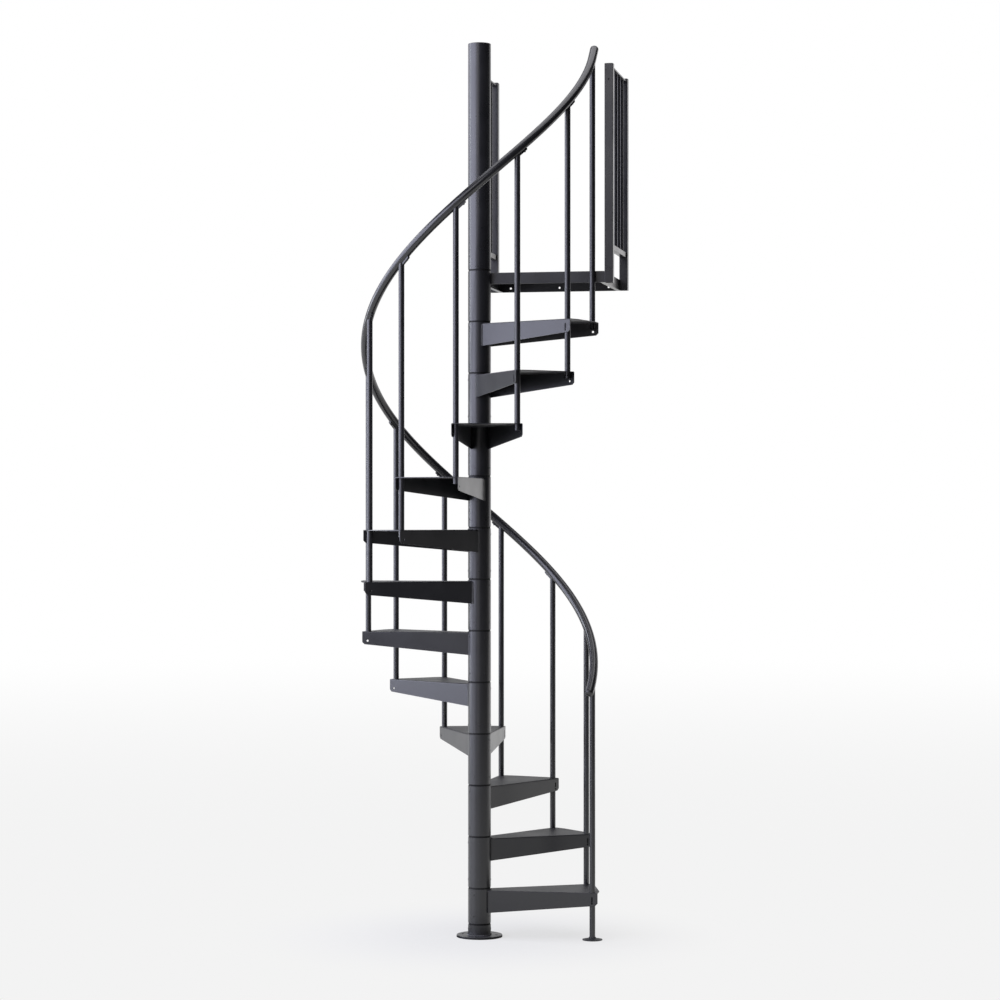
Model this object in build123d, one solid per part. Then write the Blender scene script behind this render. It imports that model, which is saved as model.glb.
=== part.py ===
"""Spiral staircase in powder-coated steel, with twelve treads and a square landing.

The frame has its origin on the column's axis at the floor, +Z up. +X runs along the landing's
front edge, and the stair climbs anticlockwise as seen from above, from the newel on +X.
All lengths are millimetres and all angles degrees.
"""
import os
from math import asin, atan2, cos, degrees, hypot, radians, sin, sqrt, tan

from build123d import *

# Whole stair
STAIR_DIAMETER = 1066.8
STEP_COUNT = 12
STEP_ANGLE = 30.0
RISE = 228.6
FIRST_TREAD_TOP = 209.0
FIT_CLEARANCE = 0.3
CUT_OVERRUN = 15.0

# Column: a pole with stacked sleeves
POLE_DIAMETER = 88.9
POLE_WALL = 5.5
SLEEVE_WALL = 6.05
SLEEVE_ABOVE_TREAD = 13.0
SEAM_GROOVE_HEIGHT = 8.0
SEAM_GROOVE_DEPTH = 4.0
COLUMN_ABOVE_LANDING = 1017.0
CAP_HEIGHT = 22.0
CAP_EDGE_RADIUS = 2.5
CAP_SPIGOT_LENGTH = 20.0

# Base flange
BASE_DIAMETER = 204.0
BASE_THICKNESS = 9.5
BASE_EDGE_CHAMFER = 1.5
BASE_BOLT_CIRCLE = 152.4
BASE_BOLT_COUNT = 4
BASE_BOLT_HOLE = 14.3
COLLAR_TOP = 62.5

# Treads
SHEET = 3.0
BEND_RADIUS = 4.5
TREAD_HUB_HALF_WIDTH = 39.5
FLANGE_HUB_DEPTH = 100.0
FLANGE_END_DEPTH = 57.0
FLANGE_END_CHAMFER = 10.0
SLOT_WIDTH = 8.0
SLOT_LENGTH = 34.0
SLOT_BELOW_TOP = 18.0
LOCK_HOLE = 9.5
LOCK_HOLE_BELOW_TOP = 41.0

# Balusters
BALUSTER_DIAMETER = 25.4
BALUSTER_WALL = 1.65
BALUSTER_INSET = 25.4
BALUSTER_BELOW_TREAD = 30.0
SADDLE_WIDTH = 12.7
SADDLE_DEPTH = 6.35
SADDLE_UPHILL = 38.0
SADDLE_DOWNHILL = 18.0
SADDLE_NOSE_RADIUS = 6.0

# Newel foot
FOOT_DIAMETER = 88.9
FOOT_EDGE = 3.5
FOOT_RISE = 5.5
FOOT_BOSS_DIAMETER = 33.0
FOOT_BOSS_HEIGHT = 12.0
FOOT_FLOOR = 3.0

# Handrail
RAIL_DIAMETER = 38.1
RAIL_WALL = 2.0
RAIL_OVER_TREAD = 938.5
RAIL_SECTIONS = 4
RAIL_LEAD_ANGLE = 6.8
RAIL_STRAIGHT_END = 67.0
RAIL_CAP_LENGTH = 16.0
RAIL_CAP_EDGE_RADIUS = 15.0
RAIL_SPIGOT_LENGTH = 14.0

# Landing
LANDING_WIDTH = 565.6
LANDING_DEPTH = 480.8
LANDING_LEFT_REACH = 6.0
LANDING_FLANGE = 50.8
LANDING_LIP = 19.0
FLOOR_BOLT_SPACING = 228.6
FLOOR_BOLT_COUNT = 3
FLOOR_BOLT_HOLE = 9.5
FLOOR_BOLT_BELOW_TOP = 32.6

# Landing guard panels
POST_SIZE = 38.1
POST_WALL = 2.0
POST_CORNER_RADIUS = 2.5
POST_ABOVE_LANDING = 913.0
TOP_BAR_WIDTH = 25.4
TOP_BAR_THICKNESS = 6.35
TOP_BAR_BELOW_POST = 6.0
BOTTOM_BAR_WIDTH = 25.4
BOTTOM_BAR_HEIGHT = 22.2
BOTTOM_BAR_CLEAR = 98.0
PICKET_DIAMETER = 19.05
RIGHT_PICKETS = 4
LEFT_PICKETS = 3
LEFT_POST_COLUMN_GAP = 3.0

# Worked out from the sizes above
FULL_TURN = 360.0
QUARTER_TURN = 90.0
OUTER_RADIUS = STAIR_DIAMETER / 2
BALUSTER_CIRCLE_RADIUS = OUTER_RADIUS - BALUSTER_INSET
POLE_RADIUS = POLE_DIAMETER / 2
BORE_RADIUS = POLE_RADIUS + FIT_CLEARANCE
SLEEVE_RADIUS = BORE_RADIUS + SLEEVE_WALL
BALUSTER_RADIUS = BALUSTER_DIAMETER / 2
BALUSTER_HOLE_RADIUS = BALUSTER_RADIUS + FIT_CLEARANCE
RAIL_RADIUS = RAIL_DIAMETER / 2
RAIL_BORE_RADIUS = RAIL_RADIUS - RAIL_WALL
TOTAL_ANGLE = STEP_COUNT * STEP_ANGLE
LANDING_TOP = FIRST_TREAD_TOP + STEP_COUNT * RISE
LANDING_FRONT = BALUSTER_HOLE_RADIUS
LANDING_REAR = LANDING_FRONT + LANDING_DEPTH
LANDING_RIGHT = LANDING_WIDTH - LANDING_LEFT_REACH
LANDING_BOTTOM = LANDING_TOP - LANDING_FLANGE
COLUMN_TOP = LANDING_TOP + COLUMN_ABOVE_LANDING
SLEEVE_TOP = COLUMN_TOP - CAP_HEIGHT
RAIL_PITCH = RISE * FULL_TURN / STEP_ANGLE
RAIL_CLIMB_PER_RADIAN = RISE / radians(STEP_ANGLE)
RAIL_LENGTH_PER_RADIAN = hypot(BALUSTER_CIRCLE_RADIUS, RAIL_CLIMB_PER_RADIAN)
RAIL_SLOPE = degrees(atan2(RAIL_CLIMB_PER_RADIAN, BALUSTER_CIRCLE_RADIUS))


def tread_top(step):
    """Height of a tread's walking surface, with step 1 the lowest."""
    return FIRST_TREAD_TOP + (step - 1) * RISE


def sleeve_top(step):
    """Height of the seam on top of a tread's sleeve, and 0 steps is the base collar's."""
    return tread_top(step) + SLEEVE_ABOVE_TREAD if step else COLLAR_TOP


def rail_height(angle):
    """Height of the handrail's centre line over an angle round the column."""
    return FIRST_TREAD_TOP + RAIL_OVER_TREAD + angle / STEP_ANGLE * RISE


def upright(radius, bottom, top, centre=(0, 0)):
    """A vertical round bar between two heights."""
    x, y = centre
    return Pos(x, y, bottom) * extrude(Circle(radius), top - bottom)


def block(low, high):
    """A box between two opposite corners."""
    size = [b - a for a, b in zip(low, high)]
    return Pos(*low) * Box(*size, align=(Align.MIN, Align.MIN, Align.MIN))


def sleeve(bottom, top):
    """A length of column sleeve before it is bored, with its top end turned down to a seam groove."""
    shoulder = top - SEAM_GROOVE_HEIGHT
    neck = upright(SLEEVE_RADIUS - SEAM_GROOVE_DEPTH, shoulder, top)
    return upright(SLEEVE_RADIUS, bottom, shoulder) + neck


def pole_bore(bottom, top):
    """The hole that slides over the pole, run past both ends of a sleeve."""
    return upright(BORE_RADIUS, bottom - CUT_OVERRUN, top + CUT_OVERRUN)


def base_plate():
    """Round bolt-down flange with the collar that holds the pole's foot."""
    plate = upright(BASE_DIAMETER / 2, 0, BASE_THICKNESS)
    rim = plate.edges().group_by(Axis.Z)[-1]
    plate = chamfer(rim, BASE_EDGE_CHAMFER)
    bolt = upright(BASE_BOLT_HOLE / 2, -CUT_OVERRUN, BASE_THICKNESS + CUT_OVERRUN)
    for place in PolarLocations(BASE_BOLT_CIRCLE / 2, BASE_BOLT_COUNT):
        plate -= place * bolt
    collar = sleeve(BASE_THICKNESS, COLLAR_TOP) - upright(BORE_RADIUS, BASE_THICKNESS, COLLAR_TOP)
    return plate + collar


def centre_pole():
    """Tube that stands on the base plate inside every sleeve."""
    tube = upright(POLE_RADIUS, BASE_THICKNESS, SLEEVE_TOP)
    return tube - upright(POLE_RADIUS - POLE_WALL, BASE_THICKNESS, SLEEVE_TOP)


def upper_sleeve():
    """Plain sleeve between the landing's hub and the column's cap."""
    bottom = sleeve_top(STEP_COUNT + 1)
    return upright(SLEEVE_RADIUS, bottom, SLEEVE_TOP) - upright(BORE_RADIUS, bottom, SLEEVE_TOP)


def column_cap():
    """Rounded cap with a spigot in the pole's bore."""
    cap = upright(SLEEVE_RADIUS, SLEEVE_TOP, COLUMN_TOP)
    cap = fillet(cap.edges().group_by(Axis.Z)[-1], CAP_EDGE_RADIUS)
    spigot_radius = POLE_RADIUS - POLE_WALL - FIT_CLEARANCE
    return cap + upright(spigot_radius, SLEEVE_TOP - CAP_SPIGOT_LENGTH, SLEEVE_TOP)


def tread_side():
    """The line of a tread's flange: its point on the sleeve, its angle and its length.

    The tread's own frame has its middle line on +X and its top at zero. The line leaves the sleeve
    at the hub's half width and passes just outside the baluster, so that the sheet clears it.
    """
    hub = Vector(sqrt(SLEEVE_RADIUS ** 2 - TREAD_HUB_HALF_WIDTH ** 2), TREAD_HUB_HALF_WIDTH)
    half = radians(STEP_ANGLE / 2)
    baluster = Vector(BALUSTER_CIRCLE_RADIUS * cos(half), BALUSTER_CIRCLE_RADIUS * sin(half))
    reach = baluster - hub
    offset = BALUSTER_HOLE_RADIUS + SHEET
    angle = atan2(reach.Y, reach.X) + asin(offset / reach.length)
    along = hub.X * cos(angle) + hub.Y * sin(angle)
    length = sqrt(along ** 2 + OUTER_RADIUS ** 2 - SLEEVE_RADIUS ** 2) - along
    baluster_at = sqrt(reach.length ** 2 - offset ** 2)
    return hub, angle, length, baluster_at


def folded_wedge(inward, top, radius):
    """A tread-shaped block with rounded top sides, its sides moved inward from the flanges' faces."""
    hub, angle, length, _ = tread_side()
    direction = Vector(cos(angle), sin(angle))
    shift = Vector(sin(angle), -cos(angle)) * inward
    inner = hub + shift - direction * (SLEEVE_WALL / 2 + inward)
    outer = hub + shift + direction * (length + CUT_OVERRUN)
    outline = Polyline(
        (outer.X, -outer.Y), (inner.X, -inner.Y), (inner.X, inner.Y), (outer.X, outer.Y), close=True
    )
    wedge = Pos(0, 0, top) * extrude(make_face(outline), -FLANGE_HUB_DEPTH - CUT_OVERRUN)
    folds = wedge.edges().group_by(Axis.Z)[-1].filter_by(Axis.Y, reverse=True)
    return fillet(folds, radius)


def tread_pan():
    """Top plate with its two tapered flanges folded down, before holes."""
    hub, angle, length, _ = tread_side()
    shell = folded_wedge(0, 0, BEND_RADIUS) - folded_wedge(SHEET, -SHEET, BEND_RADIUS - SHEET)
    corner = hub.X + length * cos(angle)
    taper = (FLANGE_HUB_DEPTH - FLANGE_END_DEPTH) / (corner - hub.X)
    side_view = Polyline(
        (0, CUT_OVERRUN),
        (OUTER_RADIUS + CUT_OVERRUN, CUT_OVERRUN),
        (OUTER_RADIUS + CUT_OVERRUN, -FLANGE_END_DEPTH + FLANGE_END_CHAMFER),
        (corner, -FLANGE_END_DEPTH + FLANGE_END_CHAMFER),
        (corner - FLANGE_END_CHAMFER, -FLANGE_END_DEPTH),
        (0, -FLANGE_HUB_DEPTH - taper * hub.X),
        close=True,
    )
    trim = Plane.XZ * extrude(make_face(side_view), OUTER_RADIUS, both=True)
    rim = upright(OUTER_RADIUS, -FLANGE_HUB_DEPTH - CUT_OVERRUN, CUT_OVERRUN)
    return shell & trim & rim


def tread(drop):
    """One tread in its own frame, welded to a sleeve that reaches down by drop from its seam."""
    hub, angle, _, baluster_at = tread_side()
    top = SLEEVE_ABOVE_TREAD
    bottom = top - drop
    body = tread_pan() + sleeve(bottom, top) - pole_bore(bottom, top)
    for side in (-1, 1):
        half = radians(side * STEP_ANGLE / 2)
        centre = (BALUSTER_CIRCLE_RADIUS * cos(half), BALUSTER_CIRCLE_RADIUS * sin(half))
        body -= upright(BALUSTER_HOLE_RADIUS, -SHEET - BEND_RADIUS, CUT_OVERRUN, centre)
    rear = Plane(
        origin=(hub.X, hub.Y, 0), x_dir=(cos(angle), sin(angle), 0), z_dir=(-sin(angle), cos(angle), 0)
    )
    front = Plane(
        origin=(hub.X, -hub.Y, 0), x_dir=(cos(angle), -sin(angle), 0), z_dir=(-sin(angle), -cos(angle), 0)
    )
    lock_hole = Pos(baluster_at, LOCK_HOLE_BELOW_TOP) * Circle(LOCK_HOLE / 2)
    slot_middle = -SLOT_BELOW_TOP - SLOT_LENGTH / 2
    slot = Pos(baluster_at, slot_middle) * Rot(Z=QUARTER_TURN) * SlotOverall(SLOT_LENGTH, SLOT_WIDTH)
    body -= rear * extrude(lock_hole, SHEET + FIT_CLEARANCE, both=True)
    body -= front * extrude(slot, SHEET + FIT_CLEARANCE, both=True)
    return body


def place_tread(shape, step):
    """Turns a tread to its place round the column and lifts it to its height."""
    return Pos(0, 0, tread_top(step)) * Rot(0, 0, (step - 1 / 2) * STEP_ANGLE) * shape


def rail_path(start, sweep_angle):
    """Centre line of the handrail from one angle round the column over a further angle."""
    climb = RAIL_PITCH * sweep_angle / FULL_TURN
    helix = Helix(RAIL_PITCH, climb, BALUSTER_CIRCLE_RADIUS)
    return Pos(0, 0, rail_height(start)) * Rot(0, 0, start) * helix


def rail_plane(angle):
    """Plane across the handrail at an angle, with its normal uphill and X outwards."""
    out = Vector(cos(radians(angle)), sin(radians(angle)))
    origin = out * BALUSTER_CIRCLE_RADIUS + Vector(0, 0, rail_height(angle))
    level = Vector(-out.Y, out.X) * cos(radians(RAIL_SLOPE))
    uphill = level + Vector(0, 0, sin(radians(RAIL_SLOPE)))
    return Plane(origin=origin, x_dir=out, z_dir=uphill)


def rail_sweep(radius, start, sweep_angle):
    """A round bar that follows the handrail's centre line."""
    section = rail_plane(start) * Circle(radius)
    return sweep(section, path=rail_path(start, sweep_angle), is_frenet=True)


def handrail_section(start, sweep_angle):
    """A length of round handrail tube bent to the helix."""
    return rail_sweep(RAIL_RADIUS, start, sweep_angle) - rail_sweep(RAIL_BORE_RADIUS, start, sweep_angle)


def straight_rail_end():
    """The tube's straight run past the last baluster."""
    tube = extrude(Circle(RAIL_RADIUS) - Circle(RAIL_BORE_RADIUS), RAIL_STRAIGHT_END)
    return rail_plane(TOTAL_ANGLE) * tube


def rail_cap():
    """Rounded plug for an end of the handrail, on its own plane with the tube below it."""
    head = upright(RAIL_RADIUS, 0, RAIL_CAP_LENGTH)
    head = fillet(head.edges().group_by(Axis.Z)[-1], RAIL_CAP_EDGE_RADIUS)
    return head + upright(RAIL_BORE_RADIUS - FIT_CLEARANCE, -RAIL_SPIGOT_LENGTH, 0)


def rail_clearance(runs_straight):
    """The room that the handrail takes over a saddle on +X, which may turn straight at the baluster."""
    radius = RAIL_RADIUS + FIT_CLEARANCE
    slope = radians(RAIL_SLOPE)
    # Downhill, the baluster's side meets the underside of the rail this far along it
    meeting_run = BALUSTER_RADIUS / cos(slope) + radius * tan(slope)
    downhill = degrees((max(meeting_run, SADDLE_DOWNHILL) + CUT_OVERRUN) / RAIL_LENGTH_PER_RADIAN)
    uphill_run = SADDLE_UPHILL + CUT_OVERRUN
    if runs_straight:
        straight = rail_plane(0) * extrude(Circle(radius), uphill_run)
        return rail_sweep(radius, -downhill, downhill) + straight
    return rail_sweep(radius, -downhill, downhill + degrees(uphill_run / RAIL_LENGTH_PER_RADIAN))


def rail_upright(bottom, runs_straight=False):
    """A baluster on +X from a height to the lowest point of the handrail, with its sloped saddle."""
    here = (BALUSTER_CIRCLE_RADIUS, 0)
    top = rail_height(0)
    bar = upright(BALUSTER_RADIUS, bottom, top, here)
    across = rail_plane(0)
    length = SADDLE_UPHILL + SADDLE_DOWNHILL
    depth = RAIL_RADIUS + SADDLE_DEPTH
    # The side plane has its X uphill along the rail and its Y square to it, upwards
    side = Plane(origin=across.origin, x_dir=across.z_dir, z_dir=across.x_dir)
    middle = Pos((SADDLE_UPHILL - SADDLE_DOWNHILL) / 2, -depth / 2)
    profile = middle * RectangleRounded(length, depth, SADDLE_NOSE_RADIUS)
    saddle = side * extrude(profile, SADDLE_WIDTH / 2, both=True)
    bore_top = top - (RAIL_RADIUS + SADDLE_DEPTH) / cos(radians(RAIL_SLOPE))
    bore = upright(BALUSTER_RADIUS - BALUSTER_WALL, bottom, bore_top, here)
    return bar + saddle - bore - rail_clearance(runs_straight)


def newel_foot():
    """Low round floor flange with a boss that holds the newel's foot."""
    boss = FOOT_BOSS_DIAMETER / 2
    rim = FOOT_DIAMETER / 2
    outline = Polyline(
        (0, 0), (rim, 0), (rim, FOOT_EDGE), (boss, FOOT_EDGE + FOOT_RISE), (boss, FOOT_BOSS_HEIGHT),
        (0, FOOT_BOSS_HEIGHT), close=True,
    )
    body = revolve(Plane.XZ * make_face(outline), Axis.Z)
    body -= upright(BALUSTER_HOLE_RADIUS, FOOT_FLOOR, FOOT_BOSS_HEIGHT + CUT_OVERRUN)
    return Pos(BALUSTER_CIRCLE_RADIUS, 0) * body


def landing():
    """Square landing: a pan with folded flanges, side lips and its hub sleeve at one corner."""
    low = (-LANDING_LEFT_REACH, LANDING_FRONT, LANDING_BOTTOM)
    high = (LANDING_RIGHT, LANDING_REAR, LANDING_TOP)
    pan = block(low, high)
    pan = fillet(pan.edges().group_by(Axis.Z)[-1], BEND_RADIUS)
    pan -= block(
        (low[0] + SHEET, low[1] + SHEET, LANDING_BOTTOM - CUT_OVERRUN),
        (high[0] - SHEET, high[1] - SHEET, LANDING_TOP - SHEET),
    )
    lip_top = LANDING_BOTTOM + SHEET
    pan += block(low, (low[0] + LANDING_LIP, LANDING_REAR, lip_top))
    pan += block((LANDING_RIGHT - LANDING_LIP, LANDING_FRONT, LANDING_BOTTOM), (*high[:2], lip_top))
    hub_bottom = sleeve_top(STEP_COUNT)
    hub_top = sleeve_top(STEP_COUNT + 1)
    body = pan + sleeve(hub_bottom, hub_top) - pole_bore(hub_bottom, hub_top)
    bolt = Rot(QUARTER_TURN, 0, 0) * extrude(Circle(FLOOR_BOLT_HOLE / 2), SHEET + FIT_CLEARANCE, both=True)
    middle = LANDING_WIDTH / 2 - LANDING_LEFT_REACH
    row = Pos(middle, LANDING_REAR, LANDING_TOP - FLOOR_BOLT_BELOW_TOP)
    for place in GridLocations(FLOOR_BOLT_SPACING, 0, FLOOR_BOLT_COUNT, 1):
        body -= row * place * bolt
    return body


def post(centre):
    """Square tube post with a closed top, from the landing's flange to the guard's height."""
    top = LANDING_TOP + POST_ABOVE_LANDING
    outer = RectangleRounded(POST_SIZE, POST_SIZE, POST_CORNER_RADIUS)
    inner = Rectangle(POST_SIZE - 2 * POST_WALL, POST_SIZE - 2 * POST_WALL)
    body = extrude(outer, top - LANDING_BOTTOM) - extrude(inner, top - LANDING_BOTTOM - POST_WALL)
    return Pos(*centre, LANDING_BOTTOM) * body


def guard_panel(x, front, rear, pickets):
    """A landing guard: two posts, a flat top bar, a bottom bar and round pickets between them."""
    body = post((x, front)) + post((x, rear))
    start = front + POST_SIZE / 2
    end = rear - POST_SIZE / 2
    top_high = LANDING_TOP + POST_ABOVE_LANDING - TOP_BAR_BELOW_POST
    top_low = top_high - TOP_BAR_THICKNESS
    bottom_low = LANDING_TOP + BOTTOM_BAR_CLEAR
    bottom_high = bottom_low + BOTTOM_BAR_HEIGHT
    half_top = TOP_BAR_WIDTH / 2
    half_bottom = BOTTOM_BAR_WIDTH / 2
    body += block((x - half_top, start, top_low), (x + half_top, end, top_high))
    body += block((x - half_bottom, start, bottom_low), (x + half_bottom, end, bottom_high))
    spacing = (rear - front) / (pickets + 1)
    for index in range(pickets):
        y = front + (index + 1) * spacing
        body += upright(PICKET_DIAMETER / 2, bottom_high, top_low, (x, y))
    return body


def build_nodes():
    """Every piece of the stair by its node's name."""
    nodes = {
        "base_plate": base_plate(),
        "centre_pole": centre_pole(),
        "upper_sleeve": upper_sleeve(),
        "column_cap": column_cap(),
        "newel_foot": newel_foot(),
        "newel": rail_upright(FOOT_FLOOR),
    }
    plain_tread = tread(RISE)
    nodes["tread_01"] = place_tread(tread(sleeve_top(1) - COLLAR_TOP), 1)
    for step in range(2, STEP_COUNT + 1):
        nodes[f"tread_{step:02d}"] = place_tread(plain_tread, step)

    # A baluster starts one rise lower than the tread that its place on the rail belongs to
    foot = FIRST_TREAD_TOP - RISE - BALUSTER_BELOW_TREAD
    plain_baluster = rail_upright(foot)
    last_baluster = rail_upright(foot, runs_straight=True)
    for step in range(1, STEP_COUNT + 1):
        baluster = last_baluster if step == STEP_COUNT else plain_baluster
        nodes[f"baluster_{step:02d}"] = Pos(0, 0, step * RISE) * Rot(0, 0, step * STEP_ANGLE) * baluster

    span = (TOTAL_ANGLE + RAIL_LEAD_ANGLE) / RAIL_SECTIONS
    for index in range(RAIL_SECTIONS):
        section = handrail_section(index * span - RAIL_LEAD_ANGLE, span)
        nodes[f"handrail_section_{index + 1}"] = section
    last = f"handrail_section_{RAIL_SECTIONS}"
    nodes[last] = nodes[last] + straight_rail_end()
    lower_end = rail_plane(-RAIL_LEAD_ANGLE)
    outwards = Plane(origin=lower_end.origin, x_dir=lower_end.x_dir, z_dir=-lower_end.z_dir)
    nodes["handrail_lower_cap"] = outwards * rail_cap()
    nodes["handrail_upper_cap"] = rail_plane(TOTAL_ANGLE).offset(RAIL_STRAIGHT_END) * rail_cap()

    # The landing and its guards are drawn with the front edge on X, then turned to the last step
    turn = Rot(0, 0, TOTAL_ANGLE)
    rear_post = LANDING_REAR - POST_SIZE / 2
    left_front = SLEEVE_RADIUS + LEFT_POST_COLUMN_GAP + POST_SIZE / 2
    right_x = LANDING_RIGHT + POST_SIZE / 2
    left_x = -LANDING_LEFT_REACH - POST_SIZE / 2
    nodes["landing"] = turn * landing()
    nodes["landing_guard_right"] = turn * guard_panel(
        right_x, LANDING_FRONT + POST_SIZE / 2, rear_post, RIGHT_PICKETS
    )
    nodes["landing_guard_left"] = turn * guard_panel(left_x, left_front, rear_post, LEFT_PICKETS)
    return nodes


os.makedirs("parts", exist_ok=True)
for name, solid in build_nodes().items():
    export_step(solid, f"parts/{name}.step")
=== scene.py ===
"""Looks of a spiral staircase in charcoal powder coat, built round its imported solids.

Lengths are metres in the part's own frame: the column stands on Z, the floor is at zero, the newel is
on +X and the stair climbs anticlockwise as seen from above. The landing's front edge runs along +X.
"""
import logging
from dataclasses import dataclass
from enum import Enum
from math import asin, atan2, cos, hypot, pi, radians, sin, tan

import bmesh
import bpy
import numpy as np
from bpy.types import Material, Node, NodeSocket, NodeTree, Object
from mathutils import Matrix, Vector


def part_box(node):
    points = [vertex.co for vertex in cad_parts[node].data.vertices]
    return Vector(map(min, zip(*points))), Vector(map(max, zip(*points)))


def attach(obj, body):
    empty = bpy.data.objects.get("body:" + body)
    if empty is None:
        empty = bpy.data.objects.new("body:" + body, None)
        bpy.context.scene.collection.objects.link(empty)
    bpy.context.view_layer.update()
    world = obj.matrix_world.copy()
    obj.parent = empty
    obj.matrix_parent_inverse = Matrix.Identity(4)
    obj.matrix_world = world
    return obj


LOG = logging.getLogger("stair")
BODY = "root"
MERGE_DISTANCE = 1e-6
SHARP_ANGLE = radians(38)
UP = np.array([0.0, 0.0, 1.0])
Colour = tuple[float, float, float]
# A socket to link, or a plain value to set
Feed = object
BLACK: Colour = (0.0, 0.0, 0.0)
WHITE: Colour = (1.0, 1.0, 1.0)
CHARCOAL: Colour = (0.0205, 0.0210, 0.0240)

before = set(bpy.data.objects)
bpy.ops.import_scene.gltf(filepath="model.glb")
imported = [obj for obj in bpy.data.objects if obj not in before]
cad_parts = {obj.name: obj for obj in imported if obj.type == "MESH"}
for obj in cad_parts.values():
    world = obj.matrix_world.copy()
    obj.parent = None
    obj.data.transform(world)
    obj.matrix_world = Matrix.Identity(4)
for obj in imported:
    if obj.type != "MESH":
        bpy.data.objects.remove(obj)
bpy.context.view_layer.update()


class Slot(Enum):
    """Names of the record's material slots, passed along with new pieces."""

    COAT = "powder_coat"
    PLUG = "end_plug"


class Closing(Enum):
    """Which opposite edges of a grid surface are joined: rows to rows, columns to columns."""

    ACROSS = (False, True)
    BOTH = (True, True)


class Effect(Enum):
    """The shared surface effects, each one node group."""

    GRAIN = "powder_grain"
    EDGE = "edge_rub"
    DUST = "settled_dust"


def unit(vectors: np.ndarray) -> np.ndarray:
    """Scales vectors on the last axis to length one."""
    return vectors / np.linalg.norm(vectors, axis=-1, keepdims=True)


def ring_angles(steps: int) -> np.ndarray:
    """Angles in equal steps once round."""
    return np.arange(steps) * 2 * pi / steps


def around(angles: np.ndarray) -> np.ndarray:
    """Level unit vectors at angles round the column: (cos a, sin a, 0)."""
    return np.stack([np.cos(angles), np.sin(angles), np.zeros_like(angles)], axis=-1)


def grid_faces(rows: int, columns: int, closing: Closing) -> np.ndarray:
    """Corner numbers of a grid's quads.

    Args:
        rows: points along the first parameter.
        columns: points along the second parameter.
        closing: which edges are joined, by counting past the last point back to the first.

    Returns:
        An array of four corner numbers for each quad.
    """
    join_rows, join_columns = closing.value
    row = np.arange(rows if join_rows else rows - 1)
    column = np.arange(columns if join_columns else columns - 1)
    r, c = np.meshgrid(row, column, indexing="ij")
    r_next = (r + 1) % rows
    c_next = (c + 1) % columns
    corners = [r * columns + c, r * columns + c_next, r_next * columns + c_next, r_next * columns + c]
    return np.stack(corners, axis=-1).reshape(-1, 4)


def surface_piece(name: str, grids: np.ndarray, closing: Closing) -> Object:
    """Joins many like grid surfaces into one mesh, with poles merged and faces outward.

    Args:
        name: the piece's name.
        grids: points shaped (copies, rows, columns, 3).
        closing: which edges of each grid are joined.

    Returns:
        The object, at the origin, with its place in its mesh.
    """
    copies, rows, columns, _ = grids.shape
    first = np.arange(copies)[:, None, None] * rows * columns
    faces = (grid_faces(rows, columns, closing)[None] + first).reshape(-1, 4)
    mesh = bpy.data.meshes.new(name)
    mesh.from_pydata(grids.reshape(-1, 3), [], faces)
    shape = bmesh.new()
    shape.from_mesh(mesh)
    bmesh.ops.remove_doubles(shape, verts=shape.verts, dist=MERGE_DISTANCE)
    bmesh.ops.recalc_face_normals(shape, faces=shape.faces)
    shape.to_mesh(mesh)
    shape.free()
    mesh.shade_smooth()
    mesh.set_sharp_from_angle(angle=SHARP_ANGLE)
    piece = bpy.data.objects.new(name, mesh)
    bpy.context.scene.collection.objects.link(piece)
    return piece


def placed(local: np.ndarray, origins: np.ndarray, axes: np.ndarray) -> np.ndarray:
    """Carries one local grid to many places: origin + x * first axis + y * second + z * third.

    Args:
        local: a grid of points shaped (rows, columns, 3).
        origins: one point for each copy.
        axes: three unit axes for each copy, shaped (copies, 3, 3).

    Returns:
        Points shaped (copies, rows, columns, 3).
    """
    return origins[:, None, None, :] + np.einsum("rck,nkj->nrcj", local, axes)


def axes_along(out: np.ndarray, side: np.ndarray) -> np.ndarray:
    """Sets of three unit axes, square to one another.

    Args:
        out: the way that each third axis points.
        side: the way that each first axis leans.

    Returns:
        First, second and third axes, shaped (copies, 3, 3).
    """
    out = unit(out)
    first = unit(side - out * np.sum(out * side, axis=-1, keepdims=True))
    second = np.cross(out, first)
    return np.stack([first, second, out], axis=1)


def weld_bead(
    corners: np.ndarray, legs: tuple[np.ndarray, np.ndarray], size: float, ring: bool
) -> np.ndarray:
    """Fillet weld beads: a bulged three-sided section carried along corner lines, with ripples.

    At each point of the line the outer face runs from one leg's end to the other's,
    corner + size * ((1 - s) * leg a + s * leg b) + bulge * sin(pi s) * (middle direction), and the
    section closes through a point just behind the corner. The size swells and narrows along the
    line with the ripple's pitch, and open lines taper to a point at both ends.

    Args:
        corners: points shaped (copies, steps, 3).
        legs: unit directions along the two joined faces, each shaped like the corners.
        size: the bead's leg length.
        ring: whether the line runs back into its start.

    Returns:
        Points shaped (copies, steps, section points, 3).
    """
    bulge_share = 0.16
    ripple_share = 0.13
    root_share = 0.25
    pitch_share = 0.75
    end_share = 0.02
    end_power = 0.5
    face_points = 7
    leg_a, leg_b = legs
    steps = corners.shape[1]
    length = np.linalg.norm(np.diff(corners, axis=1), axis=-1).sum(axis=1).mean()
    ripples = max(1, round(length / (size * pitch_share)))
    along = np.arange(steps) / (steps if ring else steps - 1)
    swell = 1 + ripple_share * np.cos(2 * pi * ripples * along)
    if not ring:
        swell = swell * np.clip(np.minimum(along, 1 - along) / end_share, 0, 1) ** end_power
    middle = unit(leg_a + leg_b)
    face = np.linspace(0, 1, face_points)[None, None, :, None]
    chord = (1 - face) * leg_a[:, :, None, :] + face * leg_b[:, :, None, :]
    outer = chord + bulge_share * np.sin(pi * face) * middle[:, :, None, :]
    root = -root_share * middle[:, :, None, :]
    section = np.concatenate([outer, root], axis=2)
    return corners[:, :, None, :] + size * swell[None, :, None, None] * section


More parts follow.
